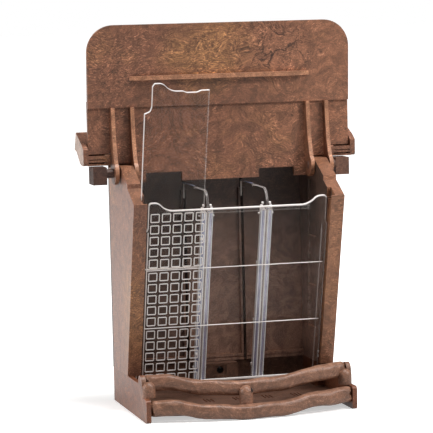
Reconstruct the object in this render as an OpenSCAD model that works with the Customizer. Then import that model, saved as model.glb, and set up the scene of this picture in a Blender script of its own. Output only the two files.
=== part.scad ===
// Hopper bird feeder with three seed compartments, a clear front and a hinged two-board roof.
// X runs to the viewer's right, Y to the back, Z up. The origin is the middle of the footprint.
// Sizes called depth are measured forward from the back face.

/* [Housing] */
// Width across the two side panels
housing_w = 198; // [180:1:220]
// Thickness of a side panel
wall_t = 12.5; // [10:0.5:15]
// Thickness of the back panel
back_t = 5; // [4:0.5:7]
// Depth of a side panel at its front top corner
depth_top = 103.5; // [96:0.5:112]
// Height of the side panels' lugs above the hinge axis
lug_rise = 6.47; // [5.5:0.01:8]
// Lean of the front, in degrees from upright
lean = 15; // [12:0.5:17]
// Slope of the side panels' top edges, in degrees
wall_slope = 27.5; // [24:0.5:28]
// Depth of the step in the top edge
top_step_depth = 79; // [70:0.5:88]
// Height of that step
top_step_h = 4; // [2:0.5:5]
// Height of the seam between tray and housing
seam_z = 32; // [28:0.5:36]

/* [Tray] */
// Thickness of a side plate of the tray
plate_t = 4.3; // [3:0.1:6]
// Thickness of the tray floor
floor_t = 4; // [3:0.5:6]
// Height of the floor's top face
floor_z = 8; // [7:0.5:12]
// Depth of the lower front end of a side plate
plate_depth = 131; // [124:0.5:140]
// Height of that lower front end
plate_nose_h = 21; // [18:0.5:24]
// Width of the fixing boss inside the rear wall
boss_w = 34; // [26:1:46]
// Depth of the fixing boss
boss_depth = 20; // [14:0.5:22]
// Diameter of the fixing hole
fixing_d = 6.5; // [5:0.5:9]
// Height of the fixing hole
fixing_z = 25; // [20:0.5:26]
// Width of a drain slot
drain_w = 1.5; // [1:0.1:2]
// Length of a drain slot
drain_l = 16; // [8:1:30]
// Spacing of the slots in a group
drain_pitch = 3.4; // [2.6:0.1:5]
// Spacing of the groups of slots
drain_group = 28; // [20:1:32]

/* [Perch rails] */
// Radius of a rail at its middle
rail_r = 6.8; // [5.5:0.1:7.5]
// Depth of the lower rail's centre at its ends
lower_depth = 124; // [120:0.5:128]
// Forward bow of the lower rail
lower_bow = 17; // [8:0.5:22]
// Height of the lower rail's centre at its ends
lower_z = 12.9; // [12:0.1:13.2]
// Sag of the lower rail
lower_sag = 6.2; // [3:0.1:6.4]
// Depth of the upper rail's centre at its ends
upper_depth = 107.5; // [104:0.5:110]
// Forward bow of the upper rail
upper_bow = 14; // [8:0.5:17]
// Half length of the lower rail's sagging middle
lower_reach = 64; // [50:1:80]
// Height of the upper rail's centre at its ends
upper_z = 33.3; // [32:0.1:36]
// Sag of the upper rail
upper_sag = 7.6; // [4:0.1:8]
// Half length of the upper rail's sagging middle
upper_reach = 70; // [50:1:80]
// Place of the rails' lowest point along X
sag_x = -4.5; // [-10:0.5:10]
// Radius of a round post
post_r = 6.2; // [5:0.1:7]
// Height of the top of an end post
end_post_z = 35.2; // [32:0.1:38]
// Height of the top of the middle post
mid_post_z = 29; // [27:0.1:31]
// Place of the middle post along X
mid_post_x = -6.4; // [-20:0.2:20]

/* [Clear panels] */
// Thickness of the front panel
panel_t = 2.2; // [1.6:0.1:2.6]
// Depth of the front panel's face at its top edge
panel_depth = 95.6; // [90:0.2:98]
// Height of the front panel's top edge
panel_top_z = 186; // [178:0.5:190]
// Height of the front panel, measured along its slope
panel_h = 171; // [164:0.5:174]
// Half width of the front panel above the grooves
panel_half = 84; // [80:0.2:85.5]
// Depth of the grooves in the side panels
groove_t = 3.8; // [2.5:0.1:5]
// Height of an ear above the panel's top edge
ear_h = 8; // [4:0.5:10]
// Length of the narrow top part of the clear panels
neck_h = 20; // [14:0.5:30]
// Height of the beads and ribs above the panel's face
bead_t = 1.2; // [0.6:0.1:2]
// Side of a mesh hole
hole_s = 8.2; // [6:0.1:8.8]
// Thickness of the sliding window
window_t = 2; // [1.6:0.1:2.2]
// Height to which the window is raised
window_lift = 111; // [60:1:120]
// Place of a divider along X
divider_x = 28; // [24:0.5:34]
// Thickness of a divider
divider_t = 2; // [1.5:0.1:3]
// Height of a divider's top edge
divider_z = 203.3; // [196:0.1:205]
// Half width of a divider's front channel
channel_half = 5; // [4:0.1:6]
// Clearance of clear panels in their grooves
slide_gap = 0.4; // [0.3:0.05:0.5]

/* [Hinge] */
// Depth of the hinge axis
hinge_depth = 46.5; // [44:0.5:48]
// Height of the hinge axis
hinge_z = 218; // [216:0.5:220]
// Diameter of a hinge pin
pin_d = 8.4; // [6:0.1:8.8]
// Radial clearance of a pin in its bores
pin_gap = 0.05; // [0.02:0.01:0.1]
// Thickness of a roof cheek
cheek_t = 3.6; // [3:0.1:4.5]
// Radius of a cheek's round end
cheek_r = 10.5; // [9:0.1:10.8]
// Gap between an outer cheek and its side panel
cheek_gap = 1.6; // [0.6:0.1:3]
// Width of a pin's grip
grip_w = 13; // [10:0.5:13.6]
// Depth of a pin's grip
grip_d = 19; // [14:0.5:22]
// Height of a pin's grip
grip_h = 16; // [12:0.5:16.4]
// Reach of the pin's neck from cheek to grip
neck_w = 4; // [3:0.1:6]
// Distance by which the left pin stands pulled out
left_pull = 2.8; // [0:0.1:3.4]

/* [Roof] */
// Width of the hinged roof
roof_w = 250; // [240:1:262]
// Thickness of a roof board
board_t = 4.6; // [3.5:0.1:5.5]
// Distance from the hinge axis to the rear board's underside
roof_offset = 9.2; // [9:0.1:10]
// Distance from the hinge axis to the board step
board_step_s = 59.5; // [56:0.5:62]
// Height of the board step
board_step_h = 2.5; // [1.5:0.1:2.6]
// Length of the roof beyond the hinge axis
roof_len = 135; // [125:1:145]
// Drop of the roof's tail below the hinge axis
tail_s = 10; // [8:0.5:10.5]
// Radius of the roof's front corners
corner_r = 25; // [15:1:35]
// Height of the cross rib
rib_h = 6; // [3:0.5:8]
// Distance from the hinge axis to the cross rib
rib_s = 86; // [75:1:100]

/* [Rear roof] */
// Slope of the fixed rear roof, in degrees
rear_slope = 22; // [18:0.5:25]
// Height of the rear roof's top face at its front edge, above the hinge axis
rear_rise = 27; // [25:0.5:32]
// Thickness of the rear roof
rear_t = 4; // [3:0.1:5]
// Thickness of an end plate of the rear roof
end_t = 4.8; // [3.5:0.1:6]
// Gap between the end plates and the hinged roof
end_gap = 0.8; // [0.5:0.1:2]
// Height of the rear roof's bottom edge, on the back panel, above the hinge axis
skirt_rise = 20; // [18:0.5:22]
// Depth of that edge's back corner
skirt_depth = 2.3; // [1:0.1:4]

/* [Fasteners] */
// Shank diameter of the screws
screw_d = 4; // [3:0.5:4.5]
// Head diameter of the screws
screw_head_d = 7.6; // [6.5:0.1:8]
// Head height of the screws
screw_head_h = 2.4; // [2:0.1:3]
// Bite of a screw in a side panel
screw_bite = 8; // [6:0.5:10]
// Space round a screw in the piece that it clamps
screw_gap = 0.2; // [0.1:0.05:0.5]

/* [Hidden] */
$fn = 48;

brown = "#7d5646";
dark_brown = "#5f4136";
clear = [0.86, 0.92, 0.95, 0.4];
steel = "#b8b8b4";

eps = 0.01;
half_w = housing_w / 2;
inner_x = half_w - wall_t;
plate_x = half_w - 0.3;
plate_in_x = plate_x - plate_t;
rail_count = 32;
rail_sides = 12;
wave_h = 0.5;

// Forward reach of the whole feeder, which sets the origin
part_depth = lower_depth + lower_bow + rail_r;

lean_tan = tan(lean);

// The side panels' top edge, from the hinge lug down to the front corner
lug_front = 5;
lug_depth = hinge_depth + lug_front;
lug_z = hinge_z + lug_rise;
step_high_z = lug_z - (top_step_depth - lug_depth) * tan(wall_slope);
step_low_z = step_high_z - top_step_h;
front_top_z = step_low_z - (depth_top - top_step_depth) * tan(wall_slope);
foot_depth = depth_top - (front_top_z - seam_z) * lean_tan;

// The open roof stands behind the hinge axis, and the fixed rear roof begins behind it
board_depth = hinge_depth - roof_offset;
rear_gap = 0.6;
rear_front = board_depth - board_t - rear_gap;
rear_tan = tan(rear_slope);
rear_top_z = hinge_z + rear_rise;
skirt_z = hinge_z + skirt_rise;
seat_gap = 0.2;
under_t = rear_t / cos(rear_slope);

bore_r = pin_d / 2 + pin_gap;
outer_cheek_x = half_w + cheek_gap;
inner_cheek_x = inner_x - 0.6 - cheek_t;
grip_x = outer_cheek_x + cheek_t + neck_w;
grip_z = hinge_z - 10;
ear_x = outer_cheek_x + cheek_t + 0.8;
end_x = roof_w / 2 + end_gap;
pin_tip_x = inner_cheek_x - 0.8;

mesh_cols = 5;
mesh_rows = 5;
rib_pitch = panel_h / 3;
groove_x = inner_x + groove_t;
window_y = panel_t + slide_gap + 1.6;
window_edge_x = divider_x + 3;

function rear_z(d) = rear_top_z + (rear_front - d) * rear_tan;

// Corner where a line that rises square to the rear roof from (-d, skirt_z)
// meets a level drop below its top face
function skirt_corner(d, drop) = let (k = (rear_z(d) - drop - skirt_z) * cos(rear_slope))
    [-d - k * sin(rear_slope), skirt_z + k * cos(rear_slope)];

// Places a child whose Y is measured from the back face
module placed() translate([0, part_depth / 2, 0]) children();

// Extrudes a profile drawn in Y and Z along X, from x to x + t
module along_x(x, t) translate([x, 0, 0]) rotate([90, 0, 90]) linear_extrude(t) children();

// Extrudes an outline drawn in X and Z forward, from y - t to y
module forward(y, t) translate([0, y, 0]) rotate([90, 0, 0]) linear_extrude(t) children();

// The leaning frame of the front: local Z runs up the slope, local Y to the back
module on_front() translate([0, -panel_depth, panel_top_z]) rotate([lean, 0, 0]) children();

module both_sides() { children(); mirror([1, 0, 0]) children(); }

// A pan-head screw along Z, head down, with a cross recess
module screw(length) {
    tip = screw_d * 0.75;
    recess_l = screw_head_d * 0.53;
    recess_w = screw_d / 5;
    recess_t = screw_head_h * 0.58;
    difference() {
        union() {
            cylinder(d = screw_head_d, h = screw_head_h);
            translate([0, 0, screw_head_h]) cylinder(d = screw_d, h = length - tip);
            translate([0, 0, screw_head_h + length - tip])
                cylinder(d1 = screw_d, d2 = 1, h = tip, $fn = 24);
        }
        for (a = [0, 90]) rotate(a)
            translate([-recess_l / 2, -recess_w / 2, -eps]) cube([recess_l, recess_w, recess_t]);
    }
}

// Middle line and radius of a twig-like rail at x
function sag_share(x, reach) = min(1, abs(x - sag_x) / reach);
function rail_centre(x, depth, bow, z, sag, reach) = [
    x,
    -depth - bow * (1 - pow(x / plate_in_x, 2)),
    z - sag * (1 - pow(sag_share(x, reach), 2.2)) + wave_h * sin(x * 9)
];
function rail_radius(x) =
    rail_r * (1 + 0.12 * pow(x / plate_in_x, 4) - 0.04 * pow(sin(x * 5), 2));

// Swell of a rail's section between its flats
function section_swell(a) = pow(pow(abs(cos(a)), 3) + pow(abs(sin(a)), 3), -1 / 3);

// A rail as one tube swept along its wavy middle line, cut square at the side plates
module rail(depth, bow, z, sag, reach) {
    points = [for (i = [0:rail_count])
        let (x = plate_in_x * (2 * i / rail_count - 1),
            c = rail_centre(x, depth, bow, z, sag, reach))
        for (k = [0:rail_sides - 1])
            let (a = 360 * k / rail_sides, r = rail_radius(x) * section_swell(a))
            [x, c.y - r * cos(a), c.z + r * sin(a)]];
    last = rail_count * rail_sides;
    faces = concat(
        [[for (k = [0:rail_sides - 1]) k]],
        [[for (k = [rail_sides - 1:-1:0]) last + k]],
        [for (i = [0:rail_count - 1]) for (k = [0:rail_sides - 1])
            let (a = i * rail_sides + k, b = i * rail_sides + (k + 1) % rail_sides)
            [a, a + rail_sides, b]],
        [for (i = [0:rail_count - 1]) for (k = [0:rail_sides - 1])
            let (a = i * rail_sides + k, b = i * rail_sides + (k + 1) % rail_sides)
            [b, a + rail_sides, b + rail_sides]]);
    polyhedron(points = points, faces = faces);
}

module post(x, depth, low_z, top_z, r) {
    translate([x, -depth, low_z]) cylinder(r = r, h = top_z - r - low_z);
    translate([x, -depth, top_z - r]) sphere(r = r);
}

end_post_x = plate_x - post_r;
end_post_depth = upper_depth + rail_r + 0.4;
mid_post_depth = lower_depth + lower_bow - 10;

module side_plate_profile() {
    nose_r = 3;
    union() {
        polygon([[0, 0], [-plate_depth + nose_r, 0], [-plate_depth, nose_r],
            [-plate_depth, plate_nose_h - nose_r], [-plate_depth + nose_r, plate_nose_h],
            [-end_post_depth, plate_nose_h], [-end_post_depth, upper_z],
            [-upper_depth + rail_r, seam_z], [0, seam_z]]);
        translate([-plate_depth + nose_r, nose_r]) circle(nose_r);
        translate([-plate_depth + nose_r, plate_nose_h - nose_r]) circle(nose_r);
        translate([-upper_depth, upper_z]) circle(rail_r);
    }
}

// Front edge of the floor, which follows the bow of the lower rail
function floor_depth(x) =
    lower_depth + lower_bow * (1 - pow(x / plate_in_x, 2)) - rail_r * 1.13 - 0.3;

// Shallow square recess round the fixing hole
recess_w = 12;
recess_h = 8.5;
recess_t = 0.8;

screw_edge = 4;
screw_x = plate_in_x - screw_edge;
screw_rear = 16;
screw_front_in = 22;
screw_depths = [screw_rear, foot_depth - screw_front_in];
ledge_past = 5;
ledge_depth = screw_depths[1] + ledge_past;
drain_in = 12;
drain_depth = foot_depth + drain_in;

module base_tray() {
    floor_steps = 24;
    color(brown) placed() difference() {
        union() {
            both_sides() along_x(plate_in_x, plate_t) side_plate_profile();
            translate([0, 0, floor_z - floor_t]) linear_extrude(floor_t)
                polygon(concat([[plate_in_x + 1, 0], [-plate_in_x - 1, 0]],
                    [for (i = [0:floor_steps])
                        let (x = plate_in_x * (2 * i / floor_steps - 1)) [x, -floor_depth(x)]]));
            translate([-plate_in_x - 1, -back_t, 0]) cube([2 * plate_in_x + 2, back_t, seam_z]);
            translate([-boss_w / 2, -boss_depth, floor_z - 1])
                cube([boss_w, boss_depth - 1, seam_z - floor_z + 0.6]);
            both_sides() translate([screw_x - screw_edge, -ledge_depth, floor_z - floor_t])
                cube([2 * screw_edge + eps, ledge_depth - 1, seam_z - floor_z + floor_t]);
            both_sides() post(end_post_x, end_post_depth, plate_nose_h, end_post_z, post_r);
            post(mid_post_x, mid_post_depth, floor_z - floor_t, mid_post_z, post_r);
        }
        translate([0, eps, fixing_z]) rotate([90, 0, 0]) cylinder(d = fixing_d, h = boss_depth + 1);
        translate([-recess_w / 2, -boss_depth - 1, fixing_z - recess_h / 2])
            cube([recess_w, recess_t + 1, recess_h]);
        both_sides() for (d = screw_depths)
            translate([screw_x, -d, -1]) cylinder(d = screw_d + 2 * screw_gap, h = seam_z + 2);
        for (g = [-2:2]) for (k = [-1:1])
            translate([g * drain_group + k * drain_pitch - drain_w / 2, -drain_depth - drain_l, -1])
                cube([drain_w, drain_l, floor_z + 2]);
    }
}

// Room that a rail leaves for a post
module post_room(x, depth) {
    post_gap = 0.3;
    translate([x, -depth, 0]) cylinder(r = post_r + post_gap, h = upper_z + 2 * rail_r);
}

module perch_rail_lower() {
    color(brown) placed() difference() {
        rail(lower_depth, lower_bow, lower_z, lower_sag, lower_reach);
        post_room(mid_post_x, mid_post_depth);
    }
}

module perch_rail_upper() {
    color(brown) placed() difference() {
        rail(upper_depth, upper_bow, upper_z, upper_sag, upper_reach);
        post_room(mid_post_x, mid_post_depth);
        both_sides() post_room(end_post_x, end_post_depth);
    }
}

guide_low = seam_z + 6;

module back_panel() {
    rail_depth = back_t + 3.5;
    back_top = skirt_z - seat_gap;
    color(dark_brown) placed() difference() {
        union() {
            translate([-half_w, -back_t, seam_z]) cube([housing_w, back_t, back_top - seam_z]);
            translate([-inner_x, -rail_depth, seam_z]) cube([2 * inner_x, rail_depth - 1, 6]);
            for (s = [-1, 1]) for (k = [-1, 1])
                translate([s * divider_x + k * (divider_t / 2 + 1.3) - 1, -rail_depth, guide_low - 1])
                    cube([2, rail_depth - 1, divider_z - guide_low - 6]);
        }
        translate([-inner_x - 1, -rail_depth - 1, seam_z + 2.4]) cube([2 * inner_x + 2, 2, 1.2]);
        for (s = [-1, 1]) translate([s * divider_x - divider_t / 2 - 0.3, -rail_depth - 1, seam_z - 1])
            cube([divider_t + 0.6, 4.5, 12]);
        for (s = [-1, 1]) for (z = back_screw_z)
            translate([s * (half_w - wall_t / 2), eps, z]) rotate([90, 0, 0]) {
                cylinder(d = screw_d + 2 * screw_gap, h = back_t + 1);
                cylinder(d = screw_head_d + 2 * screw_gap, h = screw_head_h + 2 * screw_gap);
            }
    }
}

back_screw_z = [seam_z + 18, (seam_z + lug_z) / 2, lug_z - 16];

// Outline of a side panel with its stepped top, hinge lug and seat for the rear roof
module side_profile() {
    polygon([[-back_t, seam_z], [-foot_depth, seam_z], [-depth_top, front_top_z],
        [-top_step_depth, step_low_z], [-top_step_depth, step_high_z],
        [-lug_depth, lug_z], [-rear_front, lug_z],
        [-rear_front, rear_z(rear_front) - under_t - seat_gap],
        skirt_corner(skirt_depth + under_t + seat_gap, under_t + seat_gap),
        [-skirt_depth - under_t - seat_gap, skirt_z - seat_gap], [-back_t, skirt_z - seat_gap]]);
}

// The shallow ladder on the inner face: a leaning channel crossed by rungs
module ladder_cut() {
    ladder_w = 25;
    ladder_t = 2.5;
    ladder_low = 64;
    ladder_high = 203;
    rungs = [102.9, 149.6];
    translate([inner_x - eps, -26, 0]) difference() {
        multmatrix([[1, 0, 0, 0], [0, 1, -0.06, 7], [0, 0, 1, 0]])
            translate([0, -ladder_w, ladder_low])
                cube([ladder_t + eps, ladder_w, ladder_high - ladder_low]);
        for (z = rungs) translate([-1, -2 * ladder_w, z - 1]) cube([ladder_t + 2, 3 * ladder_w, 2]);
    }
}

// The blind hole in a side panel that a screw bites into
module screw_hole() cylinder(d = screw_d + screw_gap, h = screw_bite + 5);

// The right-hand side panel; the left one is its mirror image
module side_panel() {
    front_groove = [-slide_gap, panel_t + slide_gap];
    rear_groove = [window_y - slide_gap, window_y + window_t + slide_gap];
    mouth = [-slide_gap - 4, rear_groove[1] + 2];
    mouth_z = 3.5;
    past_top = 40;
    past_foot = 40;
    difference() {
        along_x(inner_x, wall_t) side_profile();
        for (g = [front_groove, rear_groove]) on_front()
            translate([inner_x - eps, g[0], -panel_h - past_foot])
                cube([groove_t, g[1] - g[0], panel_h + past_foot + past_top]);
        on_front() translate([inner_x - eps, mouth[0], mouth_z])
            cube([groove_t, mouth[1] - mouth[0], past_top]);
        ladder_cut();
        translate([inner_x - 1, -hinge_depth, hinge_z]) rotate([0, 90, 0])
            cylinder(r = bore_r, h = wall_t + 2);
        for (d = screw_depths) translate([screw_x, -d, seam_z - 1]) screw_hole();
        for (z = back_screw_z)
            translate([half_w - wall_t / 2, -back_t + 1, z]) rotate([90, 0, 0]) screw_hole();
        for (d = roof_screw_depths) roof_screw_place(d) translate([0, 0, rear_t - 1]) screw_hole();
    }
}

module side_panel_left() { color(brown) placed() mirror([1, 0, 0]) side_panel(); }
module side_panel_right() { color(brown) placed() side_panel(); }

roof_screw_front_in = 6;
roof_screw_rear = 11;
roof_screw_depths = [rear_front - roof_screw_front_in, back_t + roof_screw_rear];

// Frame of a rear roof screw: local Z points into the roof, from its top face
module roof_screw_place(d) {
    translate([half_w - wall_t / 2, -d, rear_z(d)]) rotate([rear_slope, 0, 0]) mirror([0, 0, 1]) children();
}

// The fixed rear roof: a sloping shell with end plates that reach past the hinged roof's corners
module rear_roof() {
    back_top = skirt_corner(skirt_depth, 0);
    lip_z = hinge_z + 13;
    bars = [[ear_low_z, 1.7], [ear_low_z + 3.2, 1.9], [ear_low_z + 5.9, 3.1]];
    color(brown) placed() difference() {
        union() {
            along_x(-end_x, 2 * end_x) polygon([[-rear_front, rear_z(rear_front)], back_top,
                [-skirt_depth, skirt_z], [-skirt_depth - under_t, skirt_z],
                skirt_corner(skirt_depth + under_t, under_t), [-rear_front, rear_z(rear_front) - under_t]]);
            along_x(-inner_x + 0.6, 2 * inner_x - 1.2)
                polygon([[-rear_front, lip_z], [-rear_front, rear_z(rear_front) - 1],
                    [-rear_front + 3, rear_z(rear_front) - 1], [-rear_front + 3, lip_z]]);
            both_sides() along_x(end_x, end_t) end_profile(back_top);
            both_sides() along_x(ear_x, end_t) ear_profile();
            both_sides() for (b = bars)
                translate([ear_x, -ear_front, b[0]]) cube([end_x - ear_x + 1, 3, b[1]]);
            both_sides() translate([ear_x, -rear_front, ear_low_z])
                cube([end_x - ear_x + 1, 2.4, rear_z(rear_front) - ear_low_z - 1]);
        }
        both_sides() for (d = roof_screw_depths) roof_screw_place(d) {
            translate([0, 0, -1]) cylinder(d = screw_d + 2 * screw_gap, h = rear_t + 4);
            translate([0, 0, -1])
                cylinder(d = screw_head_d + 2 * screw_gap, h = 1 + screw_head_h / 2 + screw_gap);
        }
    }
}

// Depth and bottom height that the ears, bars and end plates share
ear_front = board_depth + 3.5;
ear_low_z = hinge_z + 7;

// End plate outside the hinged roof's edge, with a rounded nose
module end_profile(back_top) {
    nose_r = 3;
    knee_d = rear_front + 1.4;
    union() {
        polygon([[-ear_front, ear_low_z + nose_r], [-ear_front, rear_z(knee_d) - 4.5],
            [-knee_d, rear_z(knee_d)], back_top, [-skirt_depth, skirt_z],
            [-skirt_depth - 8, skirt_z - 1.5], [-rear_front + 7, ear_low_z + 1.4],
            [-rear_front, ear_low_z], [-ear_front + nose_r, ear_low_z]]);
        translate([-ear_front + nose_r, ear_low_z + nose_r]) circle(nose_r);
    }
}

// Inner ear beside the outer cheek, cut back to clear the open roof's corner
module ear_profile() {
    top_z = ear_low_z + 10;
    nose_r = 3.2;
    tail_d = 12;
    union() {
        polygon([[-ear_front, ear_low_z + nose_r], [-ear_front, top_z - nose_r],
            [-ear_front + nose_r, top_z], [-rear_front, top_z], [-rear_front, rear_z(rear_front) - 1],
            [-tail_d, rear_z(tail_d) - 1], [-rear_front + 7, ear_low_z + 1.4],
            [-rear_front, ear_low_z], [-ear_front + nose_r, ear_low_z]]);
        translate([-ear_front + nose_r, ear_low_z + nose_r]) circle(nose_r);
        translate([-ear_front + nose_r, top_z - nose_r]) circle(nose_r);
    }
}

// Section through the two lapped boards of the hinged roof, standing open
module board_section() {
    front_lean = 3.2;
    lap = 6;
    tip_y = -board_depth - board_step_h - (roof_len - board_step_s) * tan(front_lean);
    step_y = -board_depth - board_step_h;
    polygon([[-board_depth, hinge_z - tail_s - 1], [-board_depth, hinge_z + board_step_s],
        [step_y, hinge_z + board_step_s], [tip_y, hinge_z + roof_len + 1],
        [tip_y + board_t, hinge_z + roof_len + 1],
        [step_y + board_t + 0.1, hinge_z + board_step_s + lap],
        [-board_depth + board_t, hinge_z + board_step_s + lap],
        [-board_depth + board_t, hinge_z - tail_s - 1]]);
}

// Outline of the hinged roof seen from the front, with the notched tail between the cheeks
module board_outline() {
    tail_z = hinge_z - tail_s;
    notch_z = tail_z + 8.3;
    shoulder_z = hinge_z + 8;
    corner_rise = 17.5;
    corner_z = hinge_z + corner_rise;
    top_z = hinge_z + roof_len;
    notch_in = 37;
    notch_w = 34.4;
    difference() {
        union() {
            translate([-roof_w / 2, corner_z]) square([roof_w, roof_len - corner_rise - corner_r]);
            translate([-roof_w / 2 + corner_r, corner_z])
                square([roof_w - 2 * corner_r, roof_len - corner_rise]);
            for (s = [-1, 1]) translate([s * (roof_w / 2 - corner_r), top_z - corner_r])
                circle(corner_r, $fn = 96);
            translate([-outer_cheek_x - cheek_t, shoulder_z])
                square([2 * (outer_cheek_x + cheek_t), 20]);
            translate([-inner_cheek_x - cheek_t, tail_z])
                square([2 * (inner_cheek_x + cheek_t), 30]);
        }
        both_sides() translate([notch_in, tail_z - 1]) square([notch_w, notch_z - tail_z + 1]);
    }
}

// A cheek: a round end about the hinge axis that flares into the board
module cheek() {
    steps = 10;
    top_z = board_step_s;
    flare = [for (i = [0:steps]) let (z = 3 + (top_z - 3) * i / steps)
        [-hinge_depth + 5 - (cheek_r + 5) * exp(-z / 24), hinge_z + z]];
    difference() {
        union() {
            polygon(concat(flare, [[-board_depth + 1, hinge_z + top_z], [-board_depth + 1, hinge_z + 3]]));
            translate([-hinge_depth, hinge_z]) circle(cheek_r);
            translate([-hinge_depth, hinge_z - 4]) square([roof_offset + 1, 14]);
        }
        translate([-hinge_depth, hinge_z]) circle(bore_r);
    }
}

module roof_lid() {
    rib_half = inner_x - 0.6;
    rib_w = 4;
    rib_taper = 14;
    rib_y = -board_depth - board_step_h - (rib_s - board_step_s) * tan(3.2);
    color(brown) placed() union() {
        intersection() {
            along_x(-roof_w / 2, roof_w) board_section();
            forward(-board_depth + board_t + 1, 20) board_outline();
        }
        both_sides() along_x(outer_cheek_x, cheek_t) cheek();
        both_sides() along_x(inner_cheek_x, cheek_t) cheek();
        translate([0, 0, hinge_z + rib_s - rib_w / 2]) linear_extrude(rib_w)
            polygon([[-rib_half, rib_y + 1], [-rib_half, rib_y - 1],
                [-rib_half + rib_taper, rib_y - rib_h], [rib_half - rib_taper, rib_y - rib_h],
                [rib_half, rib_y - 1], [rib_half, rib_y + 1]]);
    }
}

// The right-hand pin: shaft, neck and ridged grip
module hinge_pin() {
    grip_front = hinge_depth + pin_d / 2;
    ridge = 1;
    ridge_gap = 1.4;
    ridge_pitch = (grip_d - 4) / 4.6;
    difference() {
        union() {
            translate([pin_tip_x + 1, -hinge_depth, hinge_z]) rotate([0, 90, 0])
                cylinder(d = pin_d, h = grip_x - pin_tip_x);
            translate([pin_tip_x, -hinge_depth, hinge_z]) rotate([0, 90, 0])
                cylinder(d1 = pin_d - 2, d2 = pin_d, h = 1);
            translate([grip_x, -grip_front, grip_z]) cube([grip_w, grip_d, grip_h]);
        }
        for (i = [0:4])
            translate([grip_x + grip_w - ridge, -grip_front + 2 + i * ridge_pitch, grip_z - 1])
                cube([ridge + 1, ridge_gap, grip_h + 2]);
    }
}

module hinge_pin_left() {
    color(dark_brown) placed() translate([-left_pull, 0, 0]) mirror([1, 0, 0]) hinge_pin();
}
module hinge_pin_right() { color(dark_brown) placed() hinge_pin(); }

// Outline of the front panel: ears at the top, then wider where it enters the grooves
module panel_outline() {
    wide = groove_x - slide_gap;
    ear_w = 9.4;
    ear_run = 7.6;
    polygon([[-wide, -panel_h], [wide, -panel_h], [wide, -neck_h - 2], [panel_half, -neck_h + 2],
        [panel_half, ear_h], [panel_half - ear_w, ear_h], [panel_half - ear_w - ear_run, 0],
        [-panel_half + ear_w + ear_run, 0], [-panel_half + ear_w, ear_h], [-panel_half, ear_h],
        [-panel_half, -neck_h + 2], [-wide, -neck_h - 2]]);
}

// The clear front with its mesh of square holes over the left-hand compartment
module front_panel() {
    mesh_w = panel_half - divider_x - 3.5;
    col = mesh_w / mesh_cols;
    row = (rib_pitch - 2) / mesh_rows;
    bead_half = panel_half - 17;
    color(clear) placed() on_front() difference() {
        union() {
            forward(panel_t, panel_t) panel_outline();
            translate([-bead_half, -bead_t, -3]) cube([2 * bead_half, bead_t + eps, 3]);
            for (i = [1, 2]) translate([-panel_half, -bead_t, -i * rib_pitch - 1])
                cube([2 * panel_half, bead_t + eps, 2]);
            translate([-panel_half, -bead_t, -panel_h]) cube([2 * panel_half, bead_t + eps, 2.4]);
        }
        for (g = [0:2]) for (r = [0:mesh_rows - 1]) for (c = [0:mesh_cols - 1])
            translate([-panel_half + 1.2 + c * col + (col - hole_s) / 2, -bead_t - 1,
                -g * rib_pitch - 1 - (r + 1) * row + (row - hole_s) / 2])
                cube([hole_s, panel_t + bead_t + 2, hole_s]);
    }
}

// The window, raised out of its grooves: a tab at the left, a finger dip, and a step into the groove
module sliding_window() {
    wide = groove_x - slide_gap;
    right = -window_edge_x;
    color(clear) placed() on_front() translate([0, 0, window_lift]) {
        forward(window_y + window_t, window_t)
            polygon([[-wide, -panel_h + 2], [right, -panel_h + 2], [right, 0.4], [right - 8, 0.4],
                [right - 11, -1.2], [right - 21, -1.2], [right - 24, 0.3], [-panel_half + 17.6, 0.5],
                [-panel_half + 10, ear_h], [-panel_half + 2.4, ear_h], [-panel_half + 0.5, ear_h - 3],
                [-panel_half + 0.5, -neck_h + 6], [-panel_half - 1, -neck_h + 2], [-wide, -neck_h]]);
    }
}

// The divider's web drawn in Y and Z: flat top with a small dip, then rounded down to the channel
module divider_web() {
    front_low = panel_depth - window_y - 3 - panel_h * sin(lean);
    low_z = panel_top_z - panel_h * cos(lean);
    corner = 12;
    round_steps = 6;
    front_top = panel_depth - 2;
    dip_depth = 50;
    dip_h = 2.2;
    polygon(concat([[-back_t - 0.4, floor_z + 0.3], [-back_t - 0.4, divider_z],
        [-dip_depth + 3, divider_z], [-dip_depth, divider_z - dip_h],
        [-dip_depth - 3, divider_z - 0.6]],
        [for (i = [0:round_steps]) let (a = 90 * i / round_steps)
            [-front_top + corner - corner * sin(a), divider_z - 0.8 - corner + corner * cos(a)]],
        [[-front_low - 2, low_z], [-front_low + 6, floor_z + 0.3]]));
}

module divider(x) {
    front_y = panel_t + 0.3;
    rear_y = window_y + window_t + slide_gap;
    flange = 1.2;
    front_cut = 30;
    past_ends = 20;
    nub_rise = 12;
    color(clear) placed() {
        difference() {
            along_x(x - divider_t / 2, divider_t) divider_web();
            on_front() translate([x - channel_half, -front_cut, -panel_h - past_ends])
                cube([2 * channel_half, front_cut + front_y, panel_h + 3 * past_ends]);
        }
        on_front() for (y = [front_y, rear_y]) translate([x - channel_half, y, -panel_h])
            cube([2 * channel_half, flange, panel_h - 4]);
        on_front() for (s = [-1, 1]) for (z = [-rib_pitch, -2 * rib_pitch, -panel_h + nub_rise])
            translate([x + s * channel_half - 0.8, rear_y, z - 1.5]) cube([1.6, flange + 0.8, 3]);
    }
}

module divider_left() { divider(-divider_x); }
module divider_right() { divider(divider_x); }

module housing_screws() {
    color(steel) placed() both_sides() for (d = screw_depths)
        translate([screw_x, -d, floor_z - floor_t - screw_head_h])
            screw(seam_z - floor_z + floor_t + screw_bite);
}

module back_screws() {
    color(steel) placed() both_sides() for (z = back_screw_z)
        translate([half_w - wall_t / 2, -screw_gap, z]) rotate([90, 0, 0])
            screw(back_t - screw_head_h + screw_bite);
}

module rear_roof_screws() {
    color(steel) placed() both_sides() for (d = roof_screw_depths)
        roof_screw_place(d) translate([0, 0, -screw_head_h / 2])
            screw(rear_t - screw_head_h / 2 + screw_bite);
}

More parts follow.
